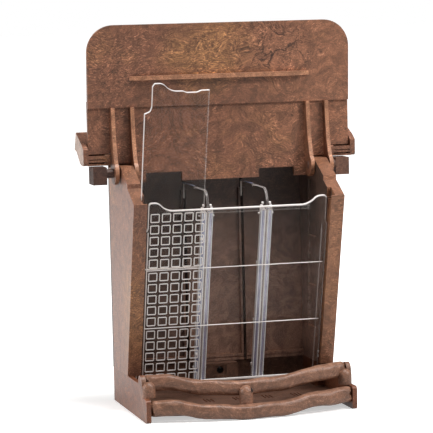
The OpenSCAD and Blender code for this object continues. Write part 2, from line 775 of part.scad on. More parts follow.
base_tray();
perch_rail_lower();
perch_rail_upper();
back_panel();
side_panel_left();
side_panel_right();
rear_roof();
roof_lid();
hinge_pin_left();
hinge_pin_right();
front_panel();
sliding_window();
divider_left();
divider_right();
housing_screws();
back_screws();
rear_roof_screws();
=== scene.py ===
"""Looks of the hopper bird feeder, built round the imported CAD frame.

All sizes in the classes are millimetres in the row frame: X to the viewer's right, Y to the back,
Z up, with the origin in the middle of the footprint. Meshes are made in metres.
"""
import logging
import math
from contextlib import contextmanager
from dataclasses import dataclass
from enum import Enum
from functools import partial
from typing import Callable, Iterator, Sequence

import bmesh
import bpy
from bpy.types import Material, NodeSocket, NodeTree, Object
from mathutils import Euler, Matrix, Vector


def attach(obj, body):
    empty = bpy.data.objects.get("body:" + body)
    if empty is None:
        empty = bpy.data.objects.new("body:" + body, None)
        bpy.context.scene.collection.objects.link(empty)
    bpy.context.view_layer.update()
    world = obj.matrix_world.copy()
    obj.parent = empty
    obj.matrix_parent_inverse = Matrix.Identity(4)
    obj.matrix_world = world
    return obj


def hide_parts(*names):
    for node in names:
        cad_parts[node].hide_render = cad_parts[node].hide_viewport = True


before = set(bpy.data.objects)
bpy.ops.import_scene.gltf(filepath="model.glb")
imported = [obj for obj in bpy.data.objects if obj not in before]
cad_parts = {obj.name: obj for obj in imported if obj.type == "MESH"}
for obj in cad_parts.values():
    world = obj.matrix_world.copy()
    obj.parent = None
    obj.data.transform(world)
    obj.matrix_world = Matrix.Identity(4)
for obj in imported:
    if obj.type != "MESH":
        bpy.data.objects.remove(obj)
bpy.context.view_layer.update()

MM = 0.001
LOG = logging.getLogger("feeder")

Point = tuple[float, float, float]
# A soft-edged place on a piece: its middle in metres and its reach in millimetres
Spot = tuple[float, float, float, float]
# A place that no piece comes near
NOWHERE: Spot = (9.0, 9.0, 9.0, 60.0)
AddNode = Callable[..., bpy.types.bpy_prop_collection]


class Body(str, Enum):
    """The moving bodies of the frame."""

    HOUSING = "housing"
    ROOF = "roof"
    WINDOW = "window"
    PIN_LEFT = "pin_left"
    PIN_RIGHT = "pin_right"


class Slot(str, Enum):
    """The record's material slots of the moulded pieces."""

    BROWN = "brown_plastic"
    DARK = "dark_plastic"
    CLEAR = "clear_plastic"


class Side(Enum):
    """The two sides of the feeder, as the sign of X."""

    LEFT = -1
    RIGHT = 1


# Colour and node helpers


def srgb(code: str) -> tuple[float, float, float, float]:
    """Turns an sRGB hex code into a linear colour.

    Args:
        code: Six hex digits after a hash.

    Returns:
        Linear red, green, blue and an alpha of 1.
    """
    channels = [int(code[i : i + 2], 16) / 255 for i in (1, 3, 5)]
    linear = [c / 12.92 if c <= 0.04045 else ((c + 0.055) / 1.055) ** 2.4 for c in channels]
    return (*linear, 1.0)


WHITE = srgb("#ffffff")
SMOOTH = {"interpolation_type": "SMOOTHSTEP"}


def add_node(
    tree: NodeTree, kind: str, inputs: dict | Sequence = (), **settings: object
) -> bpy.types.bpy_prop_collection:
    """Adds a node with its settings, and links or sets its inputs.

    Args:
        tree: The node tree that gets the node.
        kind: The node's type name without its ShaderNode prefix.
        inputs: Values, or sockets to link, by name or index of the input, or in the order of the inputs.
        settings: Properties of the node itself.

    Returns:
        The outputs of the new node.
    """
    node = tree.nodes.new("ShaderNode" + kind)
    for key, value in settings.items():
        setattr(node, key, value)
    if not isinstance(inputs, dict):
        inputs = dict(enumerate(inputs))
    for key, value in inputs.items():
        if isinstance(value, NodeSocket):
            tree.links.new(value, node.inputs[key])
        else:
            node.inputs[key].default_value = value
    return node.outputs


def new_material(name: str) -> tuple[Material, AddNode, NodeSocket]:
    """Starts a node material.

    Args:
        name: Name of the material.

    Returns:
        The material, add_node for its tree, and its Object coordinates.
    """
    material = bpy.data.materials.new(name)
    material.use_nodes = True
    material.node_tree.nodes.clear()
    add = partial(add_node, material.node_tree)
    return material, add, add("TexCoord")["Object"]


# Finishes


@dataclass(frozen=True)
class MarbledPlastic:
    """Injection-moulded polypropylene with brown, tan and dark pigment swirled through it.

    The eye sees short feathery strokes of lighter brown, a broad tan flow, a few dark curling
    veins, and a satin skin. Its grain is too fine to show, so it is drawn a millimetre wide.
    A shade can also carry painted light: a lighter patch round one place, where the lamps fall stronger.
    """

    part: str
    base: str = "#724b38"
    tan: str = "#a0734a"
    fleck: str = "#a6775d"
    dark: str = "#3d2419"
    painted_light: str = "#875b44"
    tan_at: Spot = NOWHERE
    vein_at: Spot = NOWHERE
    painted_light_at: Spot = NOWHERE
    flow_mm: float = 70.0
    vein_mm: float = 100 / 3
    stroke_mm: float = 1.15
    grain_mm: float = 1.0
    clump_mm: float = 9.0
    tan_share: float = 0.3
    fleck_share: float = 0.42
    contrast: float = 0.5
    tone: float = 0.5
    tilt: float = 32.0
    bend: float = 0.085
    roughness: float = 0.4
    relief_mm: float = 0.5
    offset: Point = (0.0, 0.0, 0.0)

    def near(self, add: AddNode, coords: NodeSocket, spot: Spot) -> NodeSocket:
        """Masks a soft-edged place on the piece.

        Args:
            add: Adds a node to the material.
            coords: Socket of the coordinates, already bent by the flow.
            spot: The place, with the reach at which it has faded out.

        Returns:
            A socket that is 1 in the middle and 0 outside.
        """
        *centre, reach = spot
        away = add("VectorMath", (coords, centre), operation="DISTANCE")["Value"]
        return add("MapRange", (away, reach * MM, reach * 0.25 * MM), **SMOOTH)[0]

    def strokes(self, add: AddNode, coords: NodeSocket, tilt: float, width_mm: float) -> NodeSocket:
        """Draws short strokes of pigment that lie along one direction.

        Args:
            add: Adds a node to the material.
            coords: Socket of the coordinates.
            tilt: Direction of the strokes in degrees above the horizontal.
            width_mm: Distance between strokes.

        Returns:
            The noise value's socket.
        """
        turn = (0.0, math.radians(tilt), 0.0)
        turned = add("Mapping", {"Vector": coords, "Rotation": turn, "Scale": (0.3, 0.7, 1.0)})[0]
        noise = {"Vector": turned, "Scale": 1000 / width_mm, "Detail": 5.0, "Roughness": 0.7}
        return add("TexNoise", noise | {"Distortion": 0.15})[0]

    def build(self) -> Material:
        """Builds the material.

        Returns:
            The node material.
        """
        material, add, coords = new_material("marbled_polypropylene_" + self.part)
        placed = add("Mapping", {"Vector": coords, "Location": self.offset})[0]
        # The melt carries the pigment, so every pattern is read through one slow bend
        flow = add("TexNoise", {"Vector": placed, "Scale": 1000 / self.flow_mm, "Detail": 3.0})["Color"]
        drift = add("VectorMath", (flow, (0.5,) * 3), operation="SUBTRACT")[0]
        warped, here = [
            add("VectorMath", (drift, (self.bend,) * 3, start), operation="MULTIPLY_ADD")[0]
            for start in (placed, coords)
        ]
        noise = {"Vector": warped, "Scale": 1100 / self.flow_mm, "Detail": 4.0, "Roughness": 0.6}
        cloud = add("SeparateColor", [add("TexNoise", noise)["Color"]])

        rising = self.strokes(add, warped, self.tilt, self.stroke_mm)
        falling = self.strokes(add, warped, -self.tilt * 1.2, self.stroke_mm * 0.8)
        side = add("MapRange", (cloud[0], 0.44, 0.56), **SMOOTH)[0]
        stroke = add("Mix", {0: side, 2: rising, 3: falling}, data_type="FLOAT")[0]
        noise = {"Vector": placed, "Scale": 1000 / self.grain_mm, "Detail": 2.0, "Roughness": 0.6}
        grain = add("TexNoise", noise)[0]

        tan_else = add("MapRange", (cloud[1], 0.54, 0.68, 0.0, self.tan_share), **SMOOTH)[0]
        tan = add("Math", (self.near(add, here, self.tan_at), tan_else), operation="MAXIMUM")[0]
        tan_stroke = add("MapRange", (stroke, 0.4, 0.6, 0.15, 0.85), **SMOOTH)[0]
        tan = add("Math", (tan, tan_stroke), operation="MULTIPLY")[0]
        active = add("MapRange", (cloud[2], 0.4, 0.56, 0.45, 1.0), **SMOOTH)[0]
        fleck = add("MapRange", (stroke, 0.54, 0.64, 0.0, self.fleck_share), **SMOOTH)[0]
        fleck = add("Math", (fleck, active), operation="MULTIPLY")[0]
        # Veins follow the line on which a bent noise crosses its middle
        noise = {"Vector": here, "Scale": 1000 / self.vein_mm, "Detail": 5.0, "Roughness": 0.6}
        curl = add("TexNoise", noise | {"Distortion": 2.0})[0]
        off_line = add("Math", (curl, 0.5), operation="SUBTRACT")[0]
        off_line = add("Math", (off_line,), operation="ABSOLUTE")[0]
        line = add("MapRange", (off_line, 0.008, 0.04, 1.0, 0.0), **SMOOTH)[0]
        vein_else = add("MapRange", (cloud[1], 0.46, 0.36, 0.0, 0.25), **SMOOTH)[0]
        vein = add("Math", (self.near(add, here, self.vein_at), vein_else), operation="MAXIMUM")[0]
        vein = add("Math", (line, vein), operation="MULTIPLY")[0]

        # Painted light: a lighter patch round one place
        painted_light = self.near(add, here, self.painted_light_at)
        colour = srgb(self.base)
        for share, code in ((painted_light, self.painted_light), (fleck, self.fleck), (tan, self.tan), (vein, self.dark)):
            colour = add("Mix", {0: share, 6: colour, 7: srgb(code)}, data_type="RGBA")[2]
        reach = add("MapRange", (active, 0.4, 1.0, self.contrast * 0.5, self.contrast), **SMOOTH)[0]
        rise = add("MapRange", (stroke, 0.5, 0.66, 0.0, 1.3), **SMOOTH)[0]
        fall = add("MapRange", (stroke, 0.47, 0.33, 0.0, -0.9), **SMOOTH)[0]
        both = add("Math", (rise, fall), operation="ADD")[0]
        level = add("Math", (both, reach, 1.0), operation="MULTIPLY_ADD")[0]
        noise = {"Vector": warped, "Scale": 1000 / self.clump_mm, "Detail": 3.0, "Roughness": 0.6}
        clump = add("TexNoise", noise)[0]
        tone = add("MapRange", (clump, 0.32, 0.66, 1 - self.tone * 0.5, 1 + self.tone * 0.5), **SMOOTH)[0]
        speck = add("MapRange", (grain, 0.3, 0.7, 0.76, 1.24), **SMOOTH)[0]
        for factor in (speck, tone):
            level = add("Math", (level, factor), operation="MULTIPLY")[0]
        colour = add("VectorMath", {0: colour, 3: level}, operation="SCALE")[0]

        rough = add("MapRange", (stroke, 0.3, 0.7, self.roughness - 0.05, self.roughness + 0.08), **SMOOTH)[0]
        relief = add("Math", (grain, stroke), operation="ADD")[0]
        bump = add("Bump", {"Height": relief, "Strength": 0.25, "Distance": self.relief_mm * MM})[0]
        skin = {"Base Color": colour, "Roughness": rough, "Specular IOR Level": 0.36, "Normal": bump}
        add("OutputMaterial", [add("BsdfPrincipled", skin)[0]])
        return material


@dataclass(frozen=True)
class ClearSheet:
    """Clear polystyrene as moulded: see-through, glossy, with a faint haze and fine rub marks."""

    part: str
    tint: str = "#f4f2f0"
    haze: float = 0.0
    haze_colour: str = "#a9b3e0"
    gloss: float = 0.05
    mirror: tuple[float, float] = (0.006, 0.45)
    rub_mm: float = 14.0

    def build(self) -> Material:
        """Builds the material.

        Returns:
            The node material.
        """
        material, add, coords = new_material("clear_polystyrene_" + self.part)
        cloud = add("TexNoise", {"Vector": coords, "Scale": 1000 / self.rub_mm, "Detail": 5.0})[0]
        body = add("BsdfTransparent", [srgb(self.tint)])[0]
        if self.haze:
            milky = add("BsdfDiffuse", [srgb(self.haze_colour)])[0]
            share = add("MapRange", (cloud, 0.3, 0.7, self.haze * 0.8, self.haze * 1.2), **SMOOTH)[0]
            body = add("MixShader", (share, body, milky))[0]
        shine = add("BsdfAnisotropic", {"Color": WHITE, "Roughness": self.gloss})[0]
        facing = add("Fresnel", {"IOR": 1.45})[0]
        mirror = add("MapRange", (facing, 0.03, 0.7, *self.mirror), **SMOOTH)[0]
        rub_and_light = add("MapRange", (cloud, 0.3, 0.7, 0.7, 1.3), **SMOOTH)[0]
        mirror = add("Math", (mirror, rub_and_light), operation="MULTIPLY")[0]
        outer = add("MixShader", (mirror, body, shine))[0]
        # The far face of the sheet adds nothing, so it is left fully clear
        behind = add("NewGeometry")["Backfacing"]
        plain = add("BsdfTransparent", [WHITE])[0]
        add("OutputMaterial", [add("MixShader", (behind, outer, plain))[0]])
        return material


@dataclass(frozen=True)
class PolishedEdge:
    """The cut and moulded edges of clear polystyrene, which gather light and look almost white; that light is
    painted in as a white colour.
    """

    part: str
    colour: str = "#f5efec"
    clear_share: float = 0.08
    line_mm: float = 5.0

    def build(self) -> Material:
        """Builds the material.

        Returns:
            The node material.
        """
        material, add, coords = new_material("clear_polystyrene_" + self.part)
        beads = add("TexNoise", {"Vector": coords, "Scale": 1000 / self.line_mm, "Detail": 3.0})[0]
        low, high = self.clear_share * 0.85, self.clear_share * 1.15
        share = add("MapRange", (beads, 0.35, 0.7, low, high), **SMOOTH)[0]
        # Painted light: the white base colour stands in for the light that the edges gather
        white = add("BsdfPrincipled", {"Base Color": srgb(self.colour), "Roughness": 0.18, "IOR": 1.59})[0]
        clear = add("BsdfTransparent", [WHITE])[0]
        add("OutputMaterial", [add("MixShader", (share, white, clear))[0]])
        return material


@dataclass(frozen=True)
class ZincSteel:
    """Zinc-plated steel screws: bright grey with a faint blue cast and small stains."""

    colour: str = "#b9bcc0"
    stain: str = "#8d9298"
    stain_mm: float = 0.8

    def build(self) -> Material:
        """Builds the material.

        Returns:
            The node material.
        """
        material, add, coords = new_material("zinc_plated_steel")
        stains = add("TexNoise", {"Vector": coords, "Scale": 1000 / self.stain_mm, "Detail": 3.0})[0]
        share = add("MapRange", (stains, 0.3, 0.7), **SMOOTH)[0]
        colour = add("Mix", {0: share, 6: srgb(self.colour), 7: srgb(self.stain)}, data_type="RGBA")[2]
        rough = add("MapRange", (stains, 0.3, 0.7, 0.28, 0.42), **SMOOTH)[0]
        metal = add("BsdfPrincipled", {"Base Color": colour, "Metallic": 1.0, "Roughness": rough})[0]
        add("OutputMaterial", [metal])
        return material


@dataclass(frozen=True)
class PaperFloor:
    """Seamless white paper: it reads white in the camera and keeps the feeder's soft shadow.

    Its fibres are too fine to show, so they are drawn 3 mm wide.
    """

    colour: str = "#f1f0ee"
    fibre: str = "#edecea"
    bounce: str = "#9c9a97"
    fibre_mm: float = 10 / 3
    lift: float = 0.5

    def build(self) -> Material:
        """Builds the material.

        Returns:
            The node material.
        """
        material, add, coords = new_material("white_studio_paper")
        fibre = add("TexNoise", {"Vector": coords, "Scale": 1000 / self.fibre_mm, "Detail": 3.0})[0]
        share = add("MapRange", (fibre, 0.3, 0.7), **SMOOTH)[0]
        colour = add("Mix", {0: share, 6: srgb(self.colour), 7: srgb(self.fibre)}, data_type="RGBA")[2]
        paper = add("BsdfDiffuse", [colour])[0]
        bounce = add("BsdfDiffuse", [srgb(self.bounce)])[0]
        away = add("VectorMath", [coords], operation="LENGTH")["Value"]
        level = add("MapRange", (away, 0.3, 0.9, self.lift, 1.0), **SMOOTH)[0]
        both = add("AddShader", (paper, add("Emission", (WHITE, level))[0]))[0]
        path = add("LightPath")
        seen = path["Is Camera Ray"]
        for ray in ("Is Glossy Ray", "Is Transmission Ray"):
            seen = add("Math", (seen, path[ray]), operation="MAXIMUM")[0]
        add("OutputMaterial", [add("MixShader", (seen, bounce, both))[0]])
        return material


class Finishes:
    """Every finish of the feeder, each made once."""

    def __init__(self) -> None:
        """Builds the materials."""
        # Painted light on the lid: a lighter patch on its right side
        self.lid = MarbledPlastic(
            "lid", contrast=0.75, tone=0.6, stroke_mm=1.28, painted_light_at=(0.09, 0.03, 0.3, 110.0),
            tan_at=(-0.016, 0.04, 0.322, 52.0), vein_at=(0.05, 0.04, 0.328, 56.0),
        ).build()
        # Painted light on the walls: a lighter patch on the right wall
        self.walls = MarbledPlastic(
            "walls", base="#744d3b", tan="#9c6f49", painted_light="#8f6349", tan_at=(-0.095, -0.03, 0.09, 85.0),
            painted_light_at=(0.095, -0.02, 0.13, 150.0), tan_share=0.55, contrast=0.6, tilt=60.0,
            offset=(0.31, 0.2, 0.1),
        ).build()
        self.tray = MarbledPlastic(
            "tray", base="#6a3e29", tan="#8a5f3d", fleck="#93694f", tilt=70.0, offset=(0.7, 0.1, 0.4),
        ).build()
        self.rails = MarbledPlastic(
            "rails", base="#7b5846", tan="#836650", fleck="#92725e", fleck_share=0.3, stroke_mm=2.2,
            clump_mm=12.0, contrast=0.4, tone=0.45, tilt=6.0, offset=(0.2, 0.9, 0.4),
        ).build()
        # Painted shade: a darker shade for the tray floor and the tray's faces behind the clear front, where
        # shade falls
        self.floor = MarbledPlastic(
            "floor", base="#573d31", tan="#664a3a", fleck="#67503f", dark="#35241c", contrast=0.3,
            offset=(0.6, 0.2, 0.8),
        ).build()
        # Painted shade: a dark shade for the rear wall's inner face, with painted light as a lighter patch
        # lower down
        self.inside = MarbledPlastic(
            "back", base="#3c2a23", tan="#5f4539", fleck="#5f483d", dark="#3b2a23", painted_light="#957465",
            painted_light_at=(0.045, 0.069, 0.075, 124.0), fleck_share=0.25, contrast=0.3, tilt=75.0,
            offset=(0.5, 0.5, 0.2),
        ).build()
        # Painted shade: a darker, greyer shade for the side walls' faces inside the seed space, with painted
        # light as a lighter patch lower down on the right
        self.inner = MarbledPlastic(
            "inner", base="#4b3930", tan="#604b40", fleck="#67524a", dark="#34261f", painted_light="#a3877b",
            painted_light_at=(0.088, 0.02, 0.08, 130.0), fleck_share=0.25, contrast=0.3, tilt=80.0,
            offset=(0.9, 0.3, 0.2),
        ).build()
        # Painted light: a paler shade for the upward tops of the side walls and of the rear wall's ledge,
        # where the lamps fall
        self.rub_and_light = MarbledPlastic(
            "rub_and_light", base="#744d38", tan="#9f6e47", fleck="#ac8064", dark="#6b4631", contrast=0.35,
            offset=(0.4, 0.1, 0.6),
        ).build()
        # Painted highlight: a paler shade for faces that catch the light, the lid's cross rib, the cheeks'
        # front edges and the tops of the ladder bars
        self.rib = MarbledPlastic(
            "rib", base="#9c6d52", tan="#ad7c55", fleck="#b98b6f", dark="#6b4631", contrast=0.35,
            offset=(0.2, 0.5, 0.5),
        ).build()
        # Painted reflection: a pale grey shade for the rear roof's left end face, standing in for the
        # reflection of the lamps and surround
        self.painted_reflection = MarbledPlastic(
            "painted_reflection", base="#a38b7e", tan="#b09680", fleck="#b7a093", dark="#7d675b", contrast=0.25,
            offset=(0.7, 0.6, 0.1),
        ).build()
        # Painted shade: a near-black shade for the guide slot in the rear wall and the bore of the fixing
        # hole, where shade falls
        self.slot = MarbledPlastic(
            "slot", base="#1e1411", tan="#2a1c17", fleck="#2e211c", dark="#120c0a", roughness=0.85,
            offset=(0.3, 0.3, 0.3),
        ).build()
        # Painted light on the pins: the right pin is made lighter
        self.pins = MarbledPlastic(
            "pins", base="#432b22", tan="#55392c", fleck="#624639", dark="#2a1a15", painted_light="#5f4133",
            painted_light_at=(0.12, 0.03, 0.225, 120.0), roughness=0.5, offset=(0.1, 0.4, 0.8),
        ).build()
        self.sheet = ClearSheet("sheet").build()
        self.channel = ClearSheet("channel", haze=0.38, gloss=0.3, mirror=(0.1, 0.4)).build()
        # Painted light: the edge, guide-line and thin-edge shades paint the light that clear edges gather as
        # white
        self.edge = PolishedEdge("edge").build()
        self.line = PolishedEdge("guide_edge", colour="#f3f8ff", clear_share=0.01).build()
        self.thin_edge = PolishedEdge("thin_edge", colour="#d2c8c4", clear_share=0.76).build()
        self.steel = ZincSteel().build()
        self.paper = PaperFloor().build()


# Modelling helpers

Test = Callable[[Vector, Vector], bool]
# Corners nearer than this, in metres, are one
MERGE = 2e-5
# Least share of a face's normal along Y by which it counts as a front or a back
FLAT = 0.99


def select_only(obj: Object) -> None:
    """Makes obj the only selected and the active object.

    Args:
        obj: The object.
    """
    bpy.ops.object.select_all(action="DESELECT")
    obj.select_set(True)
    bpy.context.view_layer.objects.active = obj


@contextmanager
def editing(obj: Object, mode: str = "FACE", action: str = "DESELECT") -> Iterator[bmesh.types.BMesh]:
    """Holds an object in edit mode for the length of a with block.

    Args:
        obj: The object.
        mode: VERT, EDGE or FACE.
        action: SELECT to start with all selected, DESELECT with nothing.

    Returns:
        The edit mesh.
    """
    select_only(obj)
    bpy.ops.object.mode_set(mode="EDIT")
    bpy.ops.mesh.select_mode(type=mode)
    bpy.ops.mesh.select_all(action=action)
    yield bmesh.from_edit_mesh(obj.data)
    bpy.ops.object.mode_set(mode="OBJECT")


def apply_modifier(obj: Object, kind: str, **settings: object) -> None:
    """Adds a modifier and applies it.

    Args:
        obj: The object.
        kind: The modifier's type.
        settings: Its properties.
    """
    select_only(obj)
    modifier = obj.modifiers.new(kind.lower(), kind)
    for key, value in settings.items():
        setattr(modifier, key, value)
    bpy.ops.object.modifier_apply(modifier=modifier.name)


def smooth(obj: Object, angle: float = 32.0) -> None:
    """Shades obj smooth, but for edges sharper than angle in degrees."""
    select_only(obj)
    bpy.ops.object.shade_smooth_by_angle(angle=math.radians(angle))


def mark(obj: Object, finish: Material, test: Test, among: Material | None = None) -> None:
    """Gives the faces that pass a test another finish.

    Args:
        obj: The mesh object.
        finish: Their new finish, which the object gets where it lacks it.
        test: Takes a face's centre in millimetres and its normal.
        among: The finish that they have so far, or None for any.
    """
    slots = obj.data.materials
    if finish.name not in slots:
        slots.append(finish)
    index = slots.find(finish.name)
    allowed = range(len(slots)) if among is None else (slots.find(among.name),)
    for face in obj.data.polygons:
        if face.material_index in allowed and test(face.center / MM, face.normal):
            face.material_index = index


def finish_piece(
    obj: Object, name: str, node: str, body: Body = Body.HOUSING
) -> None:
    """Names a piece and ties it to the frame.

    Args:
        obj: The finished mesh object, at the origin.
        name: Name of the piece.
        node: CAD node that it stands for.
        body: Body that it moves with.
    """
    obj.name = name
    obj.data.name = name
    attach(obj, body.value)
    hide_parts(node)
    LOG.info("%s: %d faces, rides on %s", name, len(obj.data.polygons), body.value)


def cut(obj: Object, axis: int, places: Sequence[float]) -> None:
    """Cuts the faces of a mesh along planes square to an axis.

    Args:
        obj: The mesh object.
        axis: 0, 1 or 2 for X, Y or Z.
        places: Where the planes lie, in millimetres.
    """
    normal = Vector([float(i == axis) for i in range(3)])
    for place in places:
        with editing(obj, action="SELECT"):
            bpy.ops.mesh.bisect(plane_co=normal * place * MM, plane_no=normal)


def moulded_copy(
    node: str, radius: float, finish: Material, cuts: dict[int, Sequence[float]] | None = None
) -> Object:
    """Copies a CAD node and rounds its edges as a mould does.

    Args:
        node: Name of the CAD node.
        radius: Width of the rounding in millimetres.
        finish: Finish of all its faces.
        cuts: Axis to the places where broad faces are cut first, so that no sliver is left in them.

    Returns:
        The rounded copy.
    """
    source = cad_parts[node]
    obj = bpy.data.objects.new(node + "_moulded", source.data.copy())
    bpy.context.scene.collection.objects.link(obj)
    obj.data.materials.clear()
    obj.data.materials.append(finish)
    with editing(obj, action="SELECT"):
        bpy.ops.mesh.remove_doubles(threshold=MERGE)
        bpy.ops.mesh.dissolve_limited(angle_limit=math.radians(0.6))
    for axis, places in (cuts or {}).items():
        cut(obj, axis, places)
    with editing(obj, action="SELECT"):
        bpy.ops.mesh.quads_convert_to_tris(quad_method="BEAUTY", ngon_method="BEAUTY")
    limit = {"limit_method": "ANGLE", "angle_limit": math.radians(30.0)}
    apply_modifier(obj, "BEVEL", width=radius * MM, segments=2, miter_outer="MITER_ARC", **limit)
    smooth(obj, 40.0)
    apply_modifier(obj, "WEIGHTED_NORMAL", keep_sharp=True, weight=90)
    return obj


def plate(outline: Sequence[Point], thickness: float, broad: Material, edge: Material, ring: float) -> Object:
    """Makes a flat sheet in the X-Z plane from a filled circle, whose corners are moved to the outline.

    Args:
        outline: Corners as X, Z and the radius of their rounding, anticlockwise seen from the front.
        thickness: Extent towards +Y in millimetres.
        broad: Finish of the front and the back.
        edge: Finish of the edge and of a ring round both broad faces.
        ring: Width of the ring in millimetres.

    Returns:
        The sheet.
    """
    bpy.ops.object.select_all(action="DESELECT")
    bpy.ops.mesh.primitive_circle_add(vertices=len(outline), radius=0.1, fill_type="NGON")
    obj = bpy.context.active_object
    obj.matrix_world = Matrix.Identity(4)
    for vertex, (x, z, _) in zip(obj.data.vertices, outline):
        vertex.co = (x * MM, 0.0, z * MM)
    with editing(obj, action="SELECT"):
        bpy.ops.mesh.extrude_region_move(TRANSFORM_OT_translate={"value": (0.0, thickness * MM, 0.0)})
        bpy.ops.mesh.select_all(action="SELECT")
        bpy.ops.mesh.normals_make_consistent(inside=False)
    for x, z, radius in outline:
        if radius:
            with editing(obj, "EDGE") as mesh:
                corner = Vector((x, z)) * MM
                for side in mesh.edges:
                    side.select_set(all((vert.co.xz - corner).length < MERGE for vert in side.verts))
                bpy.ops.mesh.bevel(offset=radius * MM, segments=5, affect="EDGES", clamp_overlap=True)
    inset_broad(obj, ring)
    for finish in (broad, edge):
        obj.data.materials.append(finish)
    for face in obj.data.polygons:
        face.material_index = 0 if face.select else 1
    return obj


def inset_broad(obj: Object, width: float, bridged: bool = False) -> None:
    """Insets both broad faces of a flat piece in the X-Z plane, and leaves them selected.

    Args:
        obj: The piece.
        width: Width of the ring in millimetres.
        bridged: Whether to open a hole from one inset face to the other.
    """
    with editing(obj) as mesh:
        for face in mesh.faces:
            face.select_set(abs(face.normal.y) > FLAT)
        bpy.ops.mesh.inset(thickness=width * MM)
        if bridged:
            bpy.ops.mesh.bridge_edge_loops()


def bar(
    centre: Point, size: Point, radius: float, broad: Material | None = None, edge: Material | None = None
) -> Object:
    """Makes a box with rounded edges.

    Args:
        centre: Its middle in millimetres.
        size: Its extents in millimetres.
        radius: Rounding of the edges, or 0 for none.
        broad: Its finish, or None for a bar that only cuts.
        edge: Finish of all but its front and back, where that is another.

    Returns:
        The bar.
    """
    bpy.ops.object.select_all(action="DESELECT")
    bpy.ops.mesh.primitive_cube_add(size=1.0)
    obj = bpy.context.active_object
    obj.data.transform(Matrix.Translation(Vector(centre) * MM) @ Matrix.Diagonal((*(Vector(size) * MM), 1.0)))
    if radius:
        apply_modifier(obj, "BEVEL", width=radius * MM, segments=2, limit_method="ANGLE")
    if broad:
        obj.data.materials.append(broad)
    if edge:
        mark(obj, edge, lambda _, normal: abs(normal.y) <= 0.95)
    return obj


def join(target: Object, others: Sequence[Object]) -> None:
    """Joins meshes into the target.

    Args:
        target: The object that stays.
        others: The objects that go into it.
    """
    select_only(target)
    for other in others:
        other.select_set(True)
    bpy.ops.object.join()


def own_copy(obj: Object, shift: Point) -> Object:
    """Copies an object with a mesh of its own.

    Args:
        obj: The object to copy.
        shift: Move in millimetres.

    Returns:
        The copy.
    """
    other = obj.copy()
    other.data = obj.data.copy()
    other.data.transform(Matrix.Translation(Vector(shift) * MM))
    bpy.context.scene.collection.objects.link(other)
    return other


# Sub-assemblies


@dataclass
class Housing:
    """Side panels, back panel and fixed rear roof."""

    edge_radius: float = 0.9
    back_radius: float = 0.5
    wall_top: float = 150.0
    skin_x: float = 95.5
    step_z: float = 190.0
    ladder_x: float = 94.0
    ladder_top: float = 175.0
    front_y: float = -17.7
    front_z: float = 186.0
    front_lean: float = 0.268
    ledge: tuple[float, float] = (30.0, 40.0)
    slot: tuple[float, float] = (26.7, 29.3)
    back_face: float = 69.5
    cap_x: float = -100.0
    lip: Point = (102.0, 45.5, 225.5)
    lip_size: Point = (5.6, 2.0, 7.0)

    def inboard(self, at: Vector, normal: Vector) -> bool:
        """Tells whether a face of a side panel looks into the seed space.

        Args:
            at: The face's middle in millimetres.
            normal: The face's normal.

        Returns:
            True behind the clear front and inside the panel's outer skin.
        """
        behind = at.y > self.front_y + (self.front_z - at.z) * self.front_lean
        riser = normal.y < -0.5 and at.z > self.step_z
        return abs(at.x) < self.skin_x and normal.z < 0.4 and behind and not riser

    def ladder_bar(self, at: Vector, normal: Vector) -> bool:
        """Tells whether a face of a side panel is the top of a bar or ledge in its ladder recess."""
        return normal.z > 0.4 and abs(at.x) < self.ladder_x and at.z < self.ladder_top

    def build(self, finishes: Finishes) -> None:
        """Builds and dresses the housing.

        Args:
            finishes: The feeder's finishes.
        """
        for side in Side:
            word = side.name.lower()
            panel = moulded_copy(f"side_panel_{word}", self.edge_radius, finishes.walls)
            # Painted light: the wall tops get the paler shade
            mark(panel, finishes.rub_and_light, lambda at, normal: normal.z > 0.4 and at.z > self.wall_top)
            # Painted shade: the faces inside the seed space get the darker inner shade
            mark(panel, finishes.inner, self.inboard)
            # Painted highlight: the tops of the ladder bars get the paler rib shade
            mark(panel, finishes.rib, self.ladder_bar)
            finish_piece(panel, f"side_wall_{word}", f"side_panel_{word}")
        low, high = self.slot
        cuts = {0: (*range(-90, 91, 20), -high, -low, low, high), 2: range(50, 225, 20)}
        # Painted shade: the rear wall is given the dark inside shade, with painted light lower down
        back = moulded_copy("back_panel", self.back_radius, finishes.inside, cuts)
        foot, head = self.ledge
        # Painted light: the ledge tops in the rear wall get the paler shade
        mark(back, finishes.rub_and_light, lambda at, normal: normal.z > 0.5 and foot < at.z < head)
        mark(back, finishes.walls, lambda at, normal: normal.y > 0.5)
        # Painted shade: the guide slots between the ridges get the near-black shade
        mark(back, finishes.slot, lambda at, _: low - 0.1 < abs(at.x) < high + 0.1 and at.y < self.back_face)
        finish_piece(back, "rear_wall", "back_panel")
        roof = moulded_copy("rear_roof", self.back_radius, finishes.walls)
        # Painted reflection: the rear roof's left end face gets the pale grey shade
        mark(roof, finishes.painted_reflection, lambda at, normal: normal.x < -0.9 and at.x < self.cap_x)
        x, y, z = self.lip
        join(roof, [bar((side.value * x, y, z), self.lip_size, 0.4, finishes.walls) for side in Side])
        smooth(roof, 40.0)
        finish_piece(roof, "rear_roof_shell", "rear_roof")


